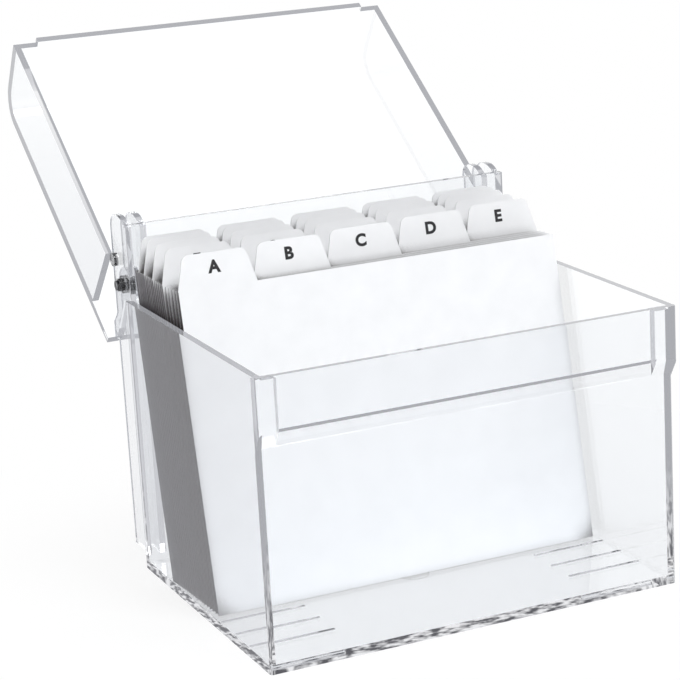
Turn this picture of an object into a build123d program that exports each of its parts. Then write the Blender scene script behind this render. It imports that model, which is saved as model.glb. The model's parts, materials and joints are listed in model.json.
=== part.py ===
from build123d import *
import os
from math import atan2, cos, radians, sin, tan

# Box for small index cards: a clear box with a hinged lid and a set of card guides with letter tabs.
# Millimetres. +X is right, +Y is back, +Z is up, and the origin is the middle of the flat underside.
# The lid is modelled standing open, as it rests.

os.makedirs("parts", exist_ok=True)

# Card guides
guide_width = 105.8
guide_body_height = 81.4
guide_thickness = 0.4
tab_height = 8.8
tab_slant = 2.2             # how far each side of a tab leans in over its height
tab_corner_radius = 2.0
tabs_per_row = 5
guide_seat_gap = 0.05       # lower edge of a guide to the floor
foot_pitch = [1.85, 1.4, 1.4, 0.76, 0.58]       # guide to guide along the floor, one value for each row
shoulder_pitch = [2.2, 1.3, 1.1, 0.66, 0.56]    # the same at the shoulder of the guides
front_guide_left = 0.1      # the loose guides have crept to the left: the front one from the middle
guide_left_step = 0.045     # and each one further than the one before it
guide_names = [
    ["A", "B", "C", "D", "E"],
    ["F", "G", "H", "IJ", "K"],
    ["L", "M", "N", "O", "PQ"],
    ["R", "S", "Sch", "St", "T"],
    ["U", "V", "W", "XY", "Z"],
]

# Box
side_gap = 1.3              # guide to side wall, with the guide in the middle
wall = 1.8
floor_thickness = 2.0
box_depth = 86.4
rim_height = 73.5
corner_radius = 0.8         # outer upright corners
band_height = 13.5          # upright part of the band along the top of the front wall
band_step = 2.6             # how far the band stands out
band_slope = 4.2            # height of the sloped face below the band
band_wall = 1.6
block_width = 3.6           # corner blocks in the recess behind the band
block_drop = 0.8            # top of a block to the rim
rear_guide_gap = 0.2        # rearmost guide to the rear wall, level with the top of the hinge posts
rear_foot_gap = 17.6        # rearmost guide to the rear wall at the floor

# Floor grooves, which keep the foot of a card from sliding
groove_length = 21.0
groove_width = 0.9
groove_depth = 0.7
groove_pitch = 9.15
groove_count = 7
groove_side_gap = 0.4       # groove to side wall
first_groove = 13.4         # inside of the front wall to the first groove
gate_radius = 3.9           # shallow round mark where the plastic entered the mould
gate_depth = 0.3
gate_from_front = 38.3

# Lid
lid_overhang = 0.7          # lid past the box at each side
lid_wall = 1.8
lid_headroom = 3.3          # an upright guide to the inside of the closed lid
lid_edge_gap = 0.5          # edge of the closed lid to the rim
lid_nest_gap = 0.3          # front of the closed lid to the recess behind the band
lid_edge_radius = 8.0       # rounded front edge, outside
lip_depth = 3.6             # lip below the edge of the front skirt
lip_end_gap = 0.4           # lip to corner block
lip_corner_radius = 2.5
skirt_start = 9.0           # hinge axis to the side skirt at its edge
skirt_slant = 3.0           # how far the end of the side skirt leans forward up to the panel
panel_overhang = 1.5        # panel behind the hinge axis
open_angle = 144.9

# Hinge
hinge_rise = 3.2            # hinge axis above the rim
hinge_back = 4.75           # hinge axis behind the rear wall
pin_radius = 2.3
pin_clearance = 0.08
pin_tip_radius = 1.7
pin_reach = 1.8             # pin tip past the hinge post
pin_tip_round = 0.6         # length of the cone at the tip
pin_tip_angle = 35          # slope of that cone, in degrees
lug_thickness = 1.8
lug_side_gap = 0.3
lug_radius = 4.4
lug_front = 4.2             # front edge of the lug from the hinge axis
post_thickness = 1.7
post_side_gap = 0.2         # hinge post to side skirt
post_foot = 3.5
post_back = 6.15            # rear edge of the post behind the hinge axis
post_front_radius = 7.0
post_rear_radius = 4.0
post_top_gap = 0.5          # top of the post to the inside of the closed lid
rear_wall_top_gap = 2.0     # top of the rear wall to the inside of the closed lid
stud_radius = 1.75
stud_height = 1.3
stud_back = 2.75            # stud behind the hinge axis
stud_rise = 6.3             # stud above the hinge axis
stop_gap = 0.3              # open lid to its stop
stop_height = 4.4

# Box, worked out
inner_half = guide_width / 2 + side_gap
box_half = inner_half + wall
front_y = -box_depth / 2
rear_y = box_depth / 2
rear_inner_y = rear_y - wall
band_front_y = front_y - band_step
recess_y = band_front_y + band_wall
band_slope_top = rim_height - band_height
band_foot = band_slope_top - band_slope
slope_half_angle = atan2(band_step, band_slope) / 2
block_inner = inner_half - block_width
block_top = rim_height - block_drop

# Hinge and lid, worked out. Lid profiles use two distances from the hinge axis:
# forward, towards the front edge of the lid, and up, towards the panel, as seen with the lid closed.
hinge_y = rear_y + hinge_back
hinge_z = rim_height + hinge_rise
lid_inside_z = floor_thickness + guide_body_height + tab_height + lid_headroom
panel_inside = lid_inside_z - hinge_z
panel_outside = panel_inside + lid_wall
lid_front = hinge_y - recess_y - lid_nest_gap
lid_edge = rim_height + lid_edge_gap - hinge_z
lid_half = box_half + lid_overhang
lid_inner_half = lid_half - lid_wall
post_outer = lid_inner_half - post_side_gap
post_slot_outer = post_outer - post_thickness
post_slot_inner = post_slot_outer - lug_thickness - 2 * lug_side_gap
post_rear_y = hinge_y + post_back
post_top = lid_inside_z - post_top_gap
rear_wall_top = lid_inside_z - rear_wall_top_gap

lean_back = radians(180 - open_angle)   # open lid above the horizontal
lid_plane = Plane(
    origin=(0, hinge_y, hinge_z),
    x_dir=(0, cos(lean_back), sin(lean_back)),
    z_dir=(-1, 0, 0),
)
# where the rear edge of the open panel comes to rest
stop_y = hinge_y - panel_overhang * cos(lean_back) + panel_inside * sin(lean_back) - stop_gap
stop_z = hinge_z - panel_overhang * sin(lean_back) - panel_inside * cos(lean_back)


with BuildPart() as base:
    # outside, from the side, with the band standing out at the front
    with BuildSketch(Plane.YZ):
        with BuildLine():
            Polyline(
                (front_y, 0),
                (rear_y, 0),
                (rear_y, rim_height),
                (band_front_y, rim_height),
                (band_front_y, band_slope_top),
                (front_y, band_foot),
                close=True,
            )
        make_face()
    extrude(amount=box_half, both=True)
    fillet(base.edges().filter_by(Axis.Z), radius=corner_radius)

    # inside, and the recess behind the band, between the corner blocks
    with BuildSketch(Plane.XY.offset(floor_thickness)):
        with Locations((0, (front_y + wall + rear_inner_y) / 2)):
            Rectangle(2 * inner_half, rear_inner_y - front_y - wall)
    extrude(amount=rim_height, mode=Mode.SUBTRACT)
    with BuildSketch(Plane.YZ):
        with BuildLine():
            Polyline(
                (front_y + wall, band_foot + wall * tan(slope_half_angle)),
                (front_y + wall, rim_height),
                (recess_y, rim_height),
                (recess_y, band_slope_top + band_wall * tan(slope_half_angle)),
                close=True,
            )
        make_face()
    extrude(amount=block_inner, both=True, mode=Mode.SUBTRACT)
    with BuildSketch(Plane.XY.offset(block_top)):
        with Locations((0, (recess_y + front_y + wall) / 2)):
            Rectangle(2 * inner_half, front_y + wall - recess_y)
    extrude(amount=block_drop, mode=Mode.SUBTRACT)

    # rear wall above the rim
    with BuildSketch(Plane.XY.offset(rim_height)):
        with Locations((0, rear_y - wall / 2)):
            Rectangle(2 * post_outer, wall)
    extrude(amount=rear_wall_top - rim_height)

    # short grooves across the floor along both sides, and the gate mark between them
    with BuildSketch(Plane.XY.offset(floor_thickness)):
        for side in (-1, 1):
            for row in range(groove_count):
                groove_x = side * (inner_half - groove_side_gap - groove_length / 2)
                with Locations((groove_x, front_y + wall + first_groove + row * groove_pitch)):
                    SlotOverall(groove_length, groove_width)
    extrude(amount=-groove_depth, mode=Mode.SUBTRACT)
    with BuildSketch(Plane.XY.offset(floor_thickness)):
        with Locations((0, front_y + gate_from_front)):
            Circle(gate_radius)
    extrude(amount=-gate_depth, mode=Mode.SUBTRACT)

    # hinge posts: two plates with a slot between them at each rear corner, each plate with a stop pad
    for side in (-1, 1):
        for plate_outer in (post_outer, post_slot_inner):
            with BuildSketch(Plane.YZ.offset(side * plate_outer)):
                with BuildLine():
                    Polyline(
                        (rear_inner_y, post_foot),
                        (post_rear_y, post_foot),
                        (post_rear_y, post_top),
                        (rear_inner_y, post_top),
                        close=True,
                    )
                make_face()
                fillet(vertices().group_by(Axis.Y)[-1].sort_by(Axis.X)[0], radius=post_front_radius)
                fillet(vertices().group_by(Axis.Y)[-1].sort_by(Axis.X)[-1], radius=post_rear_radius)
                with BuildLine():
                    Polyline(
                        (post_rear_y - wall, stop_z - stop_gap),
                        (stop_y, stop_z - stop_gap),
                        (stop_y, stop_z + stop_height),
                        (post_rear_y - wall, stop_z + 2 * stop_height),
                        close=True,
                    )
                make_face()
            extrude(amount=-side * post_thickness)
        with BuildSketch(Plane.YZ.offset(side * post_slot_outer)):
            with Locations((hinge_y, hinge_z)):
                Circle(pin_radius + pin_clearance)
        extrude(amount=side * post_thickness, mode=Mode.SUBTRACT)
        with BuildSketch(Plane.YZ.offset(side * post_outer)):
            with Locations((hinge_y + stud_back, hinge_z + stud_rise)):
                Circle(stud_radius)
        extrude(amount=side * stud_height)
base.part.label = "box_base"
export_step(base.part, "parts/box_base.step")


with BuildPart() as lid:
    # panel, front skirt and side skirts: the side outline, then the hollow under the panel
    with BuildSketch(lid_plane):
        with BuildLine():
            Polyline(
                (-panel_overhang, panel_outside),
                (lid_front, panel_outside),
                (lid_front, lid_edge),
                (skirt_start, lid_edge),
                (skirt_start + skirt_slant, panel_inside),
                (-panel_overhang, panel_inside),
                close=True,
            )
        make_face()
        fillet(vertices().group_by(Axis.Y)[-1].sort_by(Axis.X)[-1], radius=lid_edge_radius)
    extrude(amount=lid_half, both=True)
    with BuildSketch(lid_plane):
        with BuildLine():
            Polyline(
                (-panel_overhang, panel_inside),
                (lid_front - lid_wall, panel_inside),
                (lid_front - lid_wall, lid_edge),
                (-panel_overhang, lid_edge),
                close=True,
            )
        make_face()
        fillet(vertices().group_by(Axis.Y)[-1].sort_by(Axis.X)[-1], radius=lid_edge_radius - lid_wall)
    extrude(amount=lid_inner_half, both=True, mode=Mode.SUBTRACT)

    # lip below the front skirt, which drops into the recess behind the band
    lip_plane = Plane(
        origin=lid_plane.from_local_coords((lid_front, lid_edge, 0)),
        x_dir=(1, 0, 0),
        z_dir=-lid_plane.x_dir,
    )
    with BuildSketch(lip_plane):
        with BuildLine():
            lip_half = block_inner - lip_end_gap
            Polyline(
                (-lip_half, -lip_depth),
                (lip_half, -lip_depth),
                (lip_half, lid_wall),
                (-lip_half, lid_wall),
                close=True,
            )
        make_face()
        fillet(vertices().group_by(Axis.Y)[0], radius=lip_corner_radius)
    extrude(amount=lid_wall)

    # hinge lugs under the rear edge of the panel, each with a pin that points outward
    for side in (-1, 1):
        with BuildSketch(lid_plane.offset(side * (post_slot_inner + lug_side_gap))):
            with BuildLine():
                Polyline(
                    (-panel_overhang, 0),
                    (lug_front, 0),
                    (lug_front, panel_inside),
                    (-panel_overhang, panel_inside),
                    close=True,
                )
            make_face()
            Circle(lug_radius)
        extrude(amount=side * lug_thickness)
        with BuildSketch(lid_plane.offset(side * (post_slot_outer - lug_side_gap))):
            Circle(pin_radius)
        extrude(amount=side * (lug_side_gap + post_thickness))
        with BuildSketch(lid_plane.offset(side * post_outer)):
            Circle(pin_tip_radius)
        extrude(amount=side * (pin_reach - pin_tip_round))
        with BuildSketch(lid_plane.offset(side * (post_outer + pin_reach - pin_tip_round))):
            Circle(pin_tip_radius)
        extrude(amount=side * pin_tip_round, taper=pin_tip_angle)
lid.part.label = "lid"
export_step(lid.part, "parts/lid.step")


# Card guides. Each is a flat sheet that stands on the floor and leans back.
# The rearmost leans on the rear wall, and the others follow towards the front at the pitches above.
rear_foot_y = rear_inner_y - rear_foot_gap
rear_slope = (rear_foot_gap - rear_guide_gap) / (post_top - floor_thickness)
rear_shoulder_y = rear_foot_y + rear_slope * guide_body_height
row_sizes = [len(names) for names in guide_names]
row_sizes[-1] -= 1
foot_y = rear_foot_y - sum(count * pitch for count, pitch in zip(row_sizes, foot_pitch))
shoulder_y = rear_shoulder_y - sum(count * pitch for count, pitch in zip(row_sizes, shoulder_pitch))
tab_base = guide_width / tabs_per_row
guide_x = -front_guide_left

for names, foot_step, shoulder_step in zip(guide_names, foot_pitch, shoulder_pitch):
    for column, letters in enumerate(names):
        lean = atan2(shoulder_y - foot_y, guide_body_height)
        guide_plane = Plane(
            origin=(guide_x, foot_y, floor_thickness + guide_seat_gap),
            x_dir=(1, 0, 0),
            z_dir=(0, -cos(lean), sin(lean)),
        )
        tab_left = -guide_width / 2 + column * tab_base
        with BuildPart() as guide:
            with BuildSketch(guide_plane):
                with Locations((0, guide_body_height / 2)):
                    Rectangle(guide_width, guide_body_height)
                with BuildLine():
                    Polyline(
                        (tab_left, guide_body_height),
                        (tab_left + tab_base, guide_body_height),
                        (tab_left + tab_base - tab_slant, guide_body_height + tab_height),
                        (tab_left + tab_slant, guide_body_height + tab_height),
                        close=True,
                    )
                make_face()
                fillet(vertices().group_by(Axis.Y)[-1], radius=tab_corner_radius)
            extrude(amount=guide_thickness)
        guide.part.label = "guide_" + letters.lower()
        export_step(guide.part, "parts/" + guide.part.label + ".step")
        guide_x -= guide_left_step
        foot_y += foot_step
        shoulder_y += shoulder_step
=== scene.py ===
import json
import math

import bpy
from mathutils import Matrix, Vector


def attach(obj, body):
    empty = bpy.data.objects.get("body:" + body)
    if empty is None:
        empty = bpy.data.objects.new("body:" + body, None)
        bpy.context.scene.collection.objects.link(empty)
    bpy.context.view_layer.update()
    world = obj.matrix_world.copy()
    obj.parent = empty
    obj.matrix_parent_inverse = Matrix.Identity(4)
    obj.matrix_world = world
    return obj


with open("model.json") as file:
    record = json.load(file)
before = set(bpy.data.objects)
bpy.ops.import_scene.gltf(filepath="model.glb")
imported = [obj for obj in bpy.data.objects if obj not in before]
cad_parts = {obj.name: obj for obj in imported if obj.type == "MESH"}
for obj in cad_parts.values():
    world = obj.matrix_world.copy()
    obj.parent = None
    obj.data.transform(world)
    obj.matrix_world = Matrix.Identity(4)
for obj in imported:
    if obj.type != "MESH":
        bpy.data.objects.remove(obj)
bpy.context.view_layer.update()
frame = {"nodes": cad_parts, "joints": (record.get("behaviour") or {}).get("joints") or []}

mm = 0.001
white = "#FFFFFF"
nodes = frame["nodes"]
joints = {joint["child"]: joint for joint in frame["joints"]}
guideNames = sorted(name for name in nodes if name.startswith("guide_"))
print("frame loaded with", len(nodes), "nodes")


def linearColour(hexCode):
    # sRGB hex to the linear values that the shaders work in
    parts = [int(hexCode[i:i + 2], 16) / 255 for i in (1, 3, 5)]
    return [c / 12.92 if c <= 0.04045 else ((c + 0.055) / 1.055) ** 2.4 for c in parts] + [1.0]


def addNode(tree, kind, settings=None):
    # a socket, by name or number, gets a link, a hex colour or a plain value,
    # and a name that no socket has is set on the node itself
    node = tree.nodes.new(kind)
    for key, value in (settings or {}).items():
        if not isinstance(key, int) and key not in node.inputs:
            setattr(node, key, value)
        elif isinstance(value, bpy.types.NodeSocket):
            tree.links.new(value, node.inputs[key])
        elif isinstance(value, str):
            node.inputs[key].default_value = linearColour(value)
        else:
            node.inputs[key].default_value = value
    return node


def maths(tree, operation, *terms):
    node = addNode(tree, "ShaderNodeMath", {"operation": operation, **dict(enumerate(terms))})
    return node.outputs[0]


def remap(tree, value, fromEnds, toEnds=(0.0, 1.0), smooth=False):
    node = addNode(
        tree, "ShaderNodeMapRange",
        {
            "interpolation_type": "SMOOTHSTEP" if smooth else "LINEAR",
            "Value": value,
            "From Min": fromEnds[0], "From Max": fromEnds[1],
            "To Min": toEnds[0], "To Max": toEnds[1],
        },
    )
    return node.outputs["Result"]


def softNoise(tree, place, size, detail, roughness=0.5):
    # blotches that are about so many millimetres across
    node = addNode(
        tree, "ShaderNodeTexNoise",
        {"Vector": place, "Scale": 1 / (size * mm), "Detail": detail, "Roughness": roughness},
    )
    return node.outputs["Fac"]


def mixColours(tree, share, first, second):
    return addNode(tree, "ShaderNodeMix", {"data_type": "RGBA", 0: share, 6: first, 7: second}).outputs[2]


def mixShaders(tree, share, first, second):
    return addNode(tree, "ShaderNodeMixShader", {0: share, 1: first, 2: second}).outputs[0]


def separateAxes(tree, vector):
    return addNode(tree, "ShaderNodeSeparateXYZ", {0: vector}).outputs


def newMaterial(name):
    # the material, its node tree and the place on the object that its patterns follow
    material = bpy.data.materials.new(name)
    material.use_nodes = True
    tree = material.node_tree
    tree.nodes.clear()
    return material, tree, addNode(tree, "ShaderNodeTexCoord").outputs["Object"]


# clear crystal polystyrene, injection moulded and left as it leaves the mould
clearPlastic = {
    "tint": "#FAFBFC",
    "ior": 1.59,
    "roughness": 0.015,
    "hazeRoughness": 0.05,
    "scuffSize": 2.5,            # mm, patches of fine handling haze
    "scuffFrom": (0.45, 0.8),    # where in its noise the haze begins and is full
    "flowLineSpacing": 9.0,      # mm, soft waves that the plastic leaves as it fills the mould
    "flowLineDepth": 0.004,      # mm
    "shadowTint": "#F4F5F6",     # what each surface leaves of the light that falls through it
    "paintedTrappedGrey": "#ABACB1",   # painted light: the even grey glow painted where light runs round and round inside an edge
    "trappedAfter": 7.0,         # surfaces that the light crosses before that
    "trappedBounces": 2.0,       # or bounces inside a wall
    "paintedDashDark": "#4A4A50",    # painted light and shade: low down, the edges break it into painted dark and bright dashes
    "paintedDashBright": "#F4F4F6",
    "dashSize": 3.2,             # mm
    "dashContrast": (0.4, 0.6),  # where in its noise a dash is dark and bright
    "dashesBelow": 30.0,         # mm above the underside
    "pinPaintedShade": "#1B1A1E",       # painted shade: the thick round pins and studs are painted nearly black for the dark of the room that they gather
    "pinRoughness": 0.12,
    "pinRadius": 2.4,            # mm, round the hinge axis
    "pinFrom": 49.2,             # mm from the middle of the box to the inner end of a pin
    "studRadius": 1.8,           # mm
    "studFrom": 54.8,            # mm from the middle of the box to the inner end of a stud
    "studPlace": (2.75, 6.3),    # mm behind and above the hinge axis
    "pinRing": 1.5,              # mm, spacing of the painted light rings on a pin
    "ringBend": 1.5,
    "ringShares": (0.9, 0.55),   # how much of the painted dark shows between the rings and on them
}
waveTurn = 20.0  # radians that a wave texture of scale 1 turns through in a metre


def insideRod(tree, axes, y, z, radius, start):
    # 1 inside a round rod that lies along X at y, z and begins at a distance from the middle
    across = maths(tree, "SUBTRACT", axes["Y"], y * mm)
    up = maths(tree, "SUBTRACT", axes["Z"], z * mm)
    section = addNode(tree, "ShaderNodeCombineXYZ", {"X": across, "Y": up})
    reach = addNode(tree, "ShaderNodeVectorMath", {"operation": "LENGTH", 0: section.outputs[0]})
    near = maths(tree, "LESS_THAN", reach.outputs["Value"], radius * mm)
    fromMiddle = maths(tree, "ABSOLUTE", axes["X"])
    outside = maths(tree, "GREATER_THAN", fromMiddle, start * mm)
    return maths(tree, "MULTIPLY", near, outside)


def paintPinShade(tree, place, plastic):
    # painted shade: the hinge pins and the studs on the posts are painted nearly black, with painted light
    # rings along them
    axes = separateAxes(tree, place)
    hingeY, hingeZ = [value / mm for value in joints["lid"]["pos_m"][1:]]
    studBack, studRise = clearPlastic["studPlace"]
    pin = insideRod(tree, axes, hingeY, hingeZ, clearPlastic["pinRadius"], clearPlastic["pinFrom"])
    stud = insideRod(
        tree, axes, hingeY + studBack, hingeZ + studRise, clearPlastic["studRadius"], clearPlastic["studFrom"]
    )
    rings = addNode(
        tree, "ShaderNodeTexWave",
        {
            "bands_direction": "X",
            "Vector": place,
            "Scale": 2 * math.pi / waveTurn / (clearPlastic["pinRing"] * mm),
            "Distortion": clearPlastic["ringBend"],
        },
    )
    either = maths(tree, "MAXIMUM", pin, stud)
    depth = remap(tree, rings.outputs["Fac"], (0.0, 1.0), clearPlastic["ringShares"])
    share = maths(tree, "MULTIPLY", either, depth)
    # painted shade: a dark, glossy surface painted on the pins in place of the dark that they gather
    dark = addNode(
        tree, "ShaderNodeBsdfPrincipled",
        {
            "Base Color": clearPlastic["pinPaintedShade"],
            "Roughness": clearPlastic["pinRoughness"],
            "IOR": clearPlastic["ior"],
        },
    )
    return mixShaders(tree, share, plastic, dark.outputs[0])


def paintedEdgeDashes(tree, place):
    # painted light: the painted grey of an edge, broken into painted dark and bright dashes towards the
    # bottom of the box
    low = remap(tree, separateAxes(tree, place)["Z"], (clearPlastic["dashesBelow"] * mm, 0.0))
    blotches = softNoise(tree, place, clearPlastic["dashSize"], detail=2.0)
    contrast = remap(tree, blotches, clearPlastic["dashContrast"])
    dashes = mixColours(tree, contrast, clearPlastic["paintedDashDark"], clearPlastic["paintedDashBright"])
    return mixColours(tree, low, clearPlastic["paintedTrappedGrey"], dashes)


def makeClearPolystyrene():
    # high gloss, water clear, with dark and bright lines only where light is bent at edges, partly from the
    # bent light itself and partly painted
    material, tree, place = newMaterial("crystalPolystyreneMoulded")
    scuffs = softNoise(tree, place, clearPlastic["scuffSize"], detail=4.0, roughness=0.6)
    hazeEnds = (clearPlastic["roughness"], clearPlastic["hazeRoughness"])
    haze = remap(tree, scuffs, clearPlastic["scuffFrom"], hazeEnds)
    flow = softNoise(tree, place, clearPlastic["flowLineSpacing"], detail=1.0, roughness=0.4)
    bump = addNode(
        tree, "ShaderNodeBump", {"Distance": clearPlastic["flowLineDepth"] * mm, "Height": flow}
    )
    plastic = addNode(
        tree, "ShaderNodeBsdfPrincipled",
        {
            "Base Color": clearPlastic["tint"],
            "IOR": clearPlastic["ior"],
            "Transmission Weight": 1.0,
            "Roughness": haze,
            "Normal": bump.outputs["Normal"],
        },
    )
    # light that falls through the walls on the guides goes straight on, with a small loss
    rays = addNode(tree, "ShaderNodeLightPath").outputs
    straight = maths(tree, "MAXIMUM", rays["Is Shadow Ray"], rays["Is Diffuse Ray"])
    through = addNode(tree, "ShaderNodeBsdfTransparent", {"Color": clearPlastic["shadowTint"]})
    whole = mixShaders(tree, straight, plastic.outputs[0], through.outputs[0])
    whole = paintPinShade(tree, place, whole)
    # painted light: light caught in an edge ends as a painted, even grey glow, which stands in for the light
    # in a real moulding with its slight haze
    crossed = maths(tree, "GREATER_THAN", rays["Transmission Depth"], clearPlastic["trappedAfter"])
    bounced = maths(tree, "GREATER_THAN", rays["Glossy Depth"], clearPlastic["trappedBounces"])
    caught = maths(tree, "MAXIMUM", crossed, bounced)
    trapped = addNode(tree, "ShaderNodeEmission", {"Color": paintedEdgeDashes(tree, place)})
    whole = mixShaders(tree, caught, whole, trapped.outputs[0])
    addNode(tree, "ShaderNodeOutputMaterial", {"Surface": whole})
    return material


# uncoated white index card, calendered smooth
whiteCard = {
    "colour": "#F2F3F5",
    "shade": "#E9EAEC",
    "cloudSize": 6.0,             # mm, the uneven look of the sheet against light
    "roughness": 0.72,
    "ior": 1.5,
    "fibreLength": 0.8,           # mm, drawn coarser than real fibres so that it shows
    "fibreWidth": 0.25,           # mm
    "fibreDepth": 0.006,          # mm
    "gapPaintedShade": "#2A1D1B",        # painted shade: the warm dark painted deep between two sheets
    "gapReach": 9.0,              # mm, how far a sheet's neighbours count for its painted shade
    "gapSamples": 8,
    "darkInStack": (0.28, 0.68),  # openness at which a sheet is fully painted dark and fully clear
    "darkOnTab": (0.2, 0.4),      # the same on a tab
    "tabFoot": (82.5, 88.5),      # mm above the underside, where the one turns into the other
    "backFrom": 0.5,              # backward part of the normal, from which a face is the back of a sheet
    "uprightFrom": 0.985,         # sideways part of the normal, from which a face is an upright cut edge
    "cutEdgePaintedShade": "#5C585F",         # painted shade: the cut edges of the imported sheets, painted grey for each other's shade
    "cutEdgePaintedLight": "#C9C8CE",
    "edgeStripe": 3.2,            # mm, how often an edge with a painted highlight stands out
    "stripeFrom": (0.55, 0.75),   # where in its noise the painted highlight on an edge begins and is at its lightest
    "lean": 0.19,                 # how far the sheets lean back, as a slope
    "cutEdgeDeepPaintedShade": "#36363D",     # painted shade: a cut edge inside the box, close to the side wall, painted darker
    "edgeOpen": (0.5, 0.9),       # openness of a cut edge inside the box and of one clear of it
}


def clearOfPaintedShade(tree, openness, axes, facing):
    # painted shade: only the deepest corners between the tabs are painted dark, but all of the stack below
    # them is
    foot = [height * mm for height in whiteCard["tabFoot"]]
    limits = [
        remap(tree, axes["Z"], foot, (inStack, onTab))
        for inStack, onTab in zip(whiteCard["darkInStack"], whiteCard["darkOnTab"])
    ]
    clear = remap(tree, openness, limits, smooth=True)
    # the back of a sheet stays clear, because what stands close behind the last one is a clear wall
    backward = maths(tree, "GREATER_THAN", facing["Y"], whiteCard["backFrom"])
    return maths(tree, "MAXIMUM", clear, backward)


def paintedCutEdgeShade(tree, openness, axes):
    # painted shade and highlight: edges painted grey, darker inside the box, with a painted lighter one here
    # and there that follows the lean
    slopeBack = maths(tree, "MULTIPLY_ADD", axes["Z"], -whiteCard["lean"], axes["Y"])
    stripes = addNode(
        tree, "ShaderNodeTexNoise",
        {
            "noise_dimensions": "1D",
            "W": slopeBack,
            "Scale": 1 / (whiteCard["edgeStripe"] * mm),
            "Detail": 2.0,
        },
    )
    lighter = remap(tree, stripes.outputs["Fac"], whiteCard["stripeFrom"])
    edge = mixColours(tree, lighter, whiteCard["cutEdgePaintedShade"], whiteCard["cutEdgePaintedLight"])
    outOfBox = remap(tree, openness, whiteCard["edgeOpen"], smooth=True)
    return mixColours(tree, outOfBox, whiteCard["cutEdgeDeepPaintedShade"], edge)


def fibreGrain(tree, place):
    across = 1 / whiteCard["fibreWidth"]
    along = 1 / whiteCard["fibreLength"]
    stretch = addNode(tree, "ShaderNodeMapping", {"Vector": place, "Scale": (across, across, along)})
    fibres = softNoise(tree, stretch.outputs["Vector"], 1.0, detail=3.0, roughness=0.6)
    bump = addNode(tree, "ShaderNodeBump", {"Distance": whiteCard["fibreDepth"] * mm, "Height": fibres})
    return bump.outputs["Normal"]


def makeIndexCard():
    # matt, cool white, with a faint cloudy sheet and a fibre grain that runs up the card
    material, tree, place = newMaterial("indexCardStock")
    axes = separateAxes(tree, place)
    facing = separateAxes(tree, addNode(tree, "ShaderNodeNewGeometry").outputs["Normal"])
    clouds = softNoise(tree, place, whiteCard["cloudSize"], detail=3.0)
    sheet = mixColours(tree, clouds, whiteCard["colour"], whiteCard["shade"])
    # painted shade: a packed stack of sheets swallows light between them, and this is painted dark from the
    # openness, which is 0 deep in it and 1 in the clear
    around = addNode(
        tree, "ShaderNodeAmbientOcclusion",
        {"samples": whiteCard["gapSamples"], "Distance": whiteCard["gapReach"] * mm},
    )
    openness = around.outputs["AO"]
    sheet = mixColours(tree, clearOfPaintedShade(tree, openness, axes, facing), whiteCard["gapPaintedShade"], sheet)
    # painted shade: the upright cut edges take their painted grey tone
    upright = maths(tree, "GREATER_THAN", maths(tree, "ABSOLUTE", facing["X"]), whiteCard["uprightFrom"])
    tone = mixColours(tree, upright, sheet, paintedCutEdgeShade(tree, openness, axes))
    card = addNode(
        tree, "ShaderNodeBsdfPrincipled",
        {
            "Base Color": tone,
            "Roughness": whiteCard["roughness"],
            "IOR": whiteCard["ior"],
            "Normal": fibreGrain(tree, place),
        },
    )
    addNode(tree, "ShaderNodeOutputMaterial", {"Surface": card.outputs[0]})
    return material


# letters, offset printed on the card
letterPrint = {
    "ink": "#0E0D10",
    "inkThin": "#1D1C20",
    "roughness": 0.45,
    "mottleSize": 0.4,    # mm
    "capHeight": 3.1,     # mm
    "capShare": 0.72,     # height of a capital as a share of the type size, in the built-in face
    "boldness": 0.38,     # mm added to the width of a stroke
    "curveSteps": 4,      # straight steps in each curve of an outline
    "belowTabTop": 3.8,   # mm, middle of the letter
    "leftOfMiddle": 0.4,  # mm, the print sits a little to the left on the tab
    "tabTopBand": 0.5,    # mm, the height at the top of a tab in which its middle is found
    "standOff": 0.02,     # mm, middle of the ink above the card
    "inkDepth": 0.02,     # mm
}


def makePrintedInk():
    # black ink, slightly uneven where the card drinks it
    material, tree, place = newMaterial("offsetInkBlack")
    mottle = softNoise(tree, place, letterPrint["mottleSize"], detail=2.0)
    tone = mixColours(tree, mottle, letterPrint["ink"], letterPrint["inkThin"])
    ink = addNode(
        tree, "ShaderNodeBsdfPrincipled", {"Base Color": tone, "Roughness": letterPrint["roughness"]}
    )
    addNode(tree, "ShaderNodeOutputMaterial", {"Surface": ink.outputs[0]})
    return material


def dress(name, material):
    mesh = nodes[name].data
    mesh.materials.clear()
    mesh.materials.append(material)


polystyrene = makeClearPolystyrene()
cardStock = makeIndexCard()
blackInk = makePrintedInk()
for name in nodes:
    if name in guideNames:
        dress(name, cardStock)
    else:
        dress(name, polystyrene)
print("materials made")


def guidePlane(name):
    # the guide's front face: its upward direction from the lift joint, and its place from the mesh
    up = Vector(joints[name]["axis"]).normalized()
    right = Vector((1, 0, 0))
    out = right.cross(up)
    points = [v.co for v in nodes[name].data.vertices]
    face = max(p.dot(out) for p in points)
    top = max(p.dot(up) for p in points)
    tabPoints = [p.x for p in points if p.dot(up) > top - letterPrint["tabTopBand"] * mm]
    return right, up, out, face, top, (min(tabPoints) + max(tabPoints)) / 2


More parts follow.
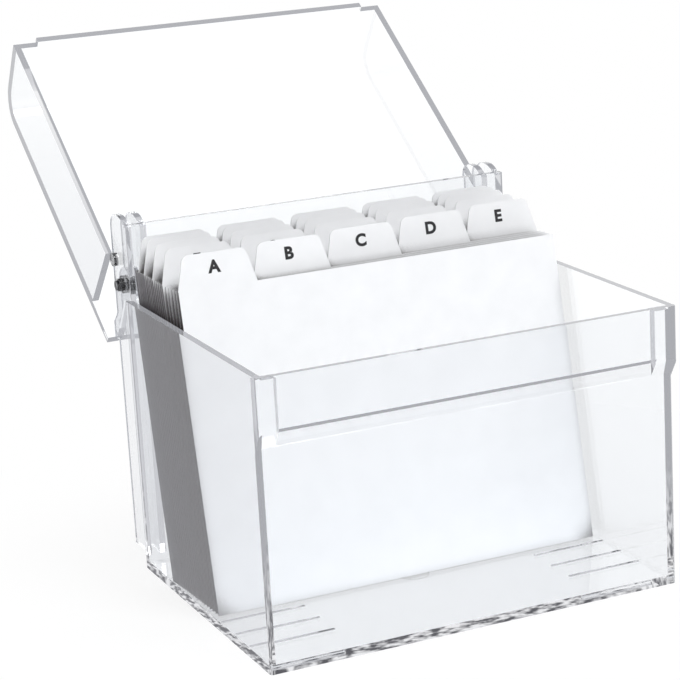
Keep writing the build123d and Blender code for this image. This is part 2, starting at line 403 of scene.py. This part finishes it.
def makeLetters(name):
    letters = name.split("_")[1]
    letters = letters.capitalize() if letters in ("sch", "st") else letters.upper()
    curve = bpy.data.curves.new("letters_" + letters, "FONT")
    curve.body = letters
    curve.align_x = "CENTER"
    curve.align_y = "CENTER"
    curve.size = letterPrint["capHeight"] / letterPrint["capShare"] * mm
    curve.offset = letterPrint["boldness"] / 2 * mm
    curve.extrude = letterPrint["inkDepth"] / 2 * mm
    curve.resolution_u = letterPrint["curveSteps"]
    text = bpy.data.objects.new("letters_" + letters, curve)
    bpy.context.scene.collection.objects.link(text)
    bpy.context.view_layer.update()
    mesh = bpy.data.meshes.new_from_object(text.evaluated_get(bpy.context.evaluated_depsgraph_get()))
    bpy.data.objects.remove(text)
    piece = bpy.data.objects.new("letters_" + letters, mesh)
    bpy.context.scene.collection.objects.link(piece)
    right, up, out, face, top, middle = guidePlane(name)
    centre = up * (top - letterPrint["belowTabTop"] * mm) + out * (face + letterPrint["standOff"] * mm)
    centre.x += middle - letterPrint["leftOfMiddle"] * mm
    turn = Matrix((right, up, out)).transposed().to_4x4()
    mesh.transform(Matrix.Translation(centre) @ turn)
    mesh.materials.clear()
    mesh.materials.append(blackInk)
    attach(piece, name)


for name in guideNames:
    makeLetters(name)
print("letters printed on", len(guideNames), "guides")


backdropGain = 1.12  # the backdrop is a little overexposed, so it stays white behind the walls

# the white paper sweep that the box stands on, with distances in metres from its middle
paperSweep = {
    "colour": "#F3F3F3",
    "roughness": 0.8,
    "halfWidth": 6.0,             # metres
    "drop": 0.1,                  # mm below the underside of the box
    "lift": 0.12,                 # the paper's own light in what the camera sees, so that it is white
    "shadowReach": (0.04, 0.16),  # where the lit paper fades to plain white
    "shadowShare": 0.25,          # how much of the shadow is left near the box
    "glow": 1.3,                  # light that the bright paper under the box throws up on the guides
    "glowReach": (0.05, 0.13),    # where that begins to fade and ends
    "paintedMirrorGrey": "#D2D2D6",      # painted reflection: what the walls mirror near the box is painted grey, where less light falls
    "mirrorReach": (0.3, 0.9),    # where that begins to fade and is white
    "mirrorFrom": 0.5,            # counted mirrorings, so from the first one on
}


def makePaperSweep():
    # lit paper near the box, plain white further out, and a painted soft grey reflection in the mirror of the
    # walls
    material, tree, place = newMaterial("paperSweep")
    rays = addNode(tree, "ShaderNodeLightPath").outputs
    away = addNode(tree, "ShaderNodeVectorMath", {"operation": "LENGTH", 0: place}).outputs["Value"]
    seen = maths(tree, "MAXIMUM", rays["Is Camera Ray"], rays["Is Transmission Ray"])
    lift = maths(tree, "MULTIPLY", seen, paperSweep["lift"])
    glow = remap(tree, away, paperSweep["glowReach"], (paperSweep["glow"], 0.0))
    paper = addNode(
        tree, "ShaderNodeBsdfPrincipled",
        {
            "Base Color": paperSweep["colour"],
            "Roughness": paperSweep["roughness"],
            "Emission Color": white,
            "Emission Strength": maths(tree, "MULTIPLY_ADD", rays["Is Diffuse Ray"], glow, lift),
        },
    )
    gain = remap(tree, rays["Is Transmission Ray"], (0.0, 1.0), (1.0, backdropGain))
    blank = addNode(tree, "ShaderNodeEmission", {"Color": white, "Strength": gain})
    fade = remap(tree, away, paperSweep["shadowReach"], (1 - paperSweep["shadowShare"], 1.0), smooth=True)
    share = maths(tree, "MULTIPLY", fade, seen)
    sweep = mixShaders(tree, share, paper.outputs[0], blank.outputs[0])
    far = remap(tree, away, paperSweep["mirrorReach"])
    paintedMirror = addNode(
        tree, "ShaderNodeEmission", {"Color": mixColours(tree, far, paperSweep["paintedMirrorGrey"], white)}
    )
    reflected = maths(tree, "GREATER_THAN", rays["Glossy Depth"], paperSweep["mirrorFrom"])
    sweep = mixShaders(tree, reflected, sweep, paintedMirror.outputs[0])
    addNode(tree, "ShaderNodeOutputMaterial", {"Surface": sweep})
    return material


def makeFloor():
    mesh = bpy.data.meshes.new("studioFloor")
    half = paperSweep["halfWidth"]
    low = -paperSweep["drop"] * mm
    corners = [(-half, -half, low), (half, -half, low), (half, half, low), (-half, half, low)]
    mesh.from_pydata(corners, [], [(0, 1, 2, 3)])
    mesh.materials.append(makePaperSweep())
    floor = bpy.data.objects.new("studioFloor", mesh)
    bpy.context.scene.collection.objects.link(floor)


# the room around the box, in what lights it and in what its walls bend into view
room = {
    "ambient": 0.4,               # strength of the light from all round
    # sine of the height above the horizon, and what bent light finds there
    "stops": [
        (0.0, "#FFFFFF"), (0.36, "#FFFFFF"),
        (0.46, "#85858B"), (0.62, "#5A5A60"), (0.80, "#85858B"),
        (0.9, "#FFFFFF"),
    ],
}


def makeWorld():
    # white paper all round up to a low height and an overhead panel, with the dark of the room between:
    # light that is bent hard in an edge or a pin finds the dark, and light that goes straight finds white
    world = bpy.data.worlds.new("studioWorld")
    world.use_nodes = True
    tree = world.node_tree
    tree.nodes.clear()
    direction = addNode(tree, "ShaderNodeTexCoord").outputs["Generated"]
    ramp = addNode(tree, "ShaderNodeValToRGB", {"Fac": separateAxes(tree, direction)["Z"]})
    stops = room["stops"]
    ramp.color_ramp.elements[0].position = stops[0][0]
    ramp.color_ramp.elements[1].position = stops[-1][0]
    for height, _ in stops[1:-1]:
        ramp.color_ramp.elements.new(height)
    for element, (_, colour) in zip(ramp.color_ramp.elements, stops):
        element.color = linearColour(colour)
    surroundings = addNode(
        tree, "ShaderNodeBackground", {"Color": ramp.outputs["Color"], "Strength": backdropGain}
    )
    rays = addNode(tree, "ShaderNodeLightPath").outputs
    strength = remap(tree, rays["Is Camera Ray"], (0.0, 1.0), (room["ambient"], 1.0))
    plain = addNode(tree, "ShaderNodeBackground", {"Color": white, "Strength": strength})
    bent = maths(tree, "MAXIMUM", rays["Is Glossy Ray"], rays["Is Transmission Ray"])
    whole = mixShaders(tree, bent, plain.outputs[0], surroundings.outputs[0])
    addNode(tree, "ShaderNodeOutputWorld", {"Surface": whole})
    bpy.context.scene.world = world


softBoxes = {
    # name: place and target in metres, size in metres, power in watts
    "keyBox": {"at": (0.45, -0.62, 0.95), "aim": (0, 0, 0.05), "size": 0.5, "power": 5.3},
    "topBox": {"at": (-0.05, -0.6, 1.1), "aim": (0, 0, 0.05), "size": 0.9, "power": 6.2},
    "backBox": {"at": (-0.3, 0.9, 0.6), "aim": (0, 0, 0.05), "size": 0.6, "power": 3.0},
}


def makeSoftBox(name, box):
    light = bpy.data.lights.new(name, "AREA")
    light.shape = "SQUARE"
    light.size = box["size"]
    light.energy = box["power"]
    lamp = bpy.data.objects.new(name, light)
    lamp.location = box["at"]
    direction = Vector(box["aim"]) - Vector(box["at"])
    lamp.rotation_euler = direction.to_track_quat("-Z", "Y").to_euler()
    lamp.visible_camera = False
    bpy.context.scene.collection.objects.link(lamp)


photoCamera = {
    "place": (-246.6, -534.3, 222.1),        # mm
    "turn": (74.653, 2.786, -25.704),        # degrees
    "sensor": 36.0,                          # mm
    "lens": 126.92,                          # mm
    "shift": (-0.0882, 0.0147),
    "clipStart": 10.0,                       # mm
}


def makeCamera():
    lens = bpy.data.cameras.new("photoCamera")
    lens.sensor_width = photoCamera["sensor"]
    lens.lens = photoCamera["lens"]
    lens.shift_x, lens.shift_y = photoCamera["shift"]
    lens.clip_start = photoCamera["clipStart"] * mm
    camera = bpy.data.objects.new("photoCamera", lens)
    camera.location = Vector(photoCamera["place"]) * mm
    camera.rotation_euler = [math.radians(angle) for angle in photoCamera["turn"]]
    bpy.context.scene.collection.objects.link(camera)
    bpy.context.scene.camera = camera


makeFloor()
makeWorld()
for name, box in softBoxes.items():
    makeSoftBox(name, box)
makeCamera()
bpy.context.scene.view_settings.view_transform = "Standard"
print("studio lit and camera placed")
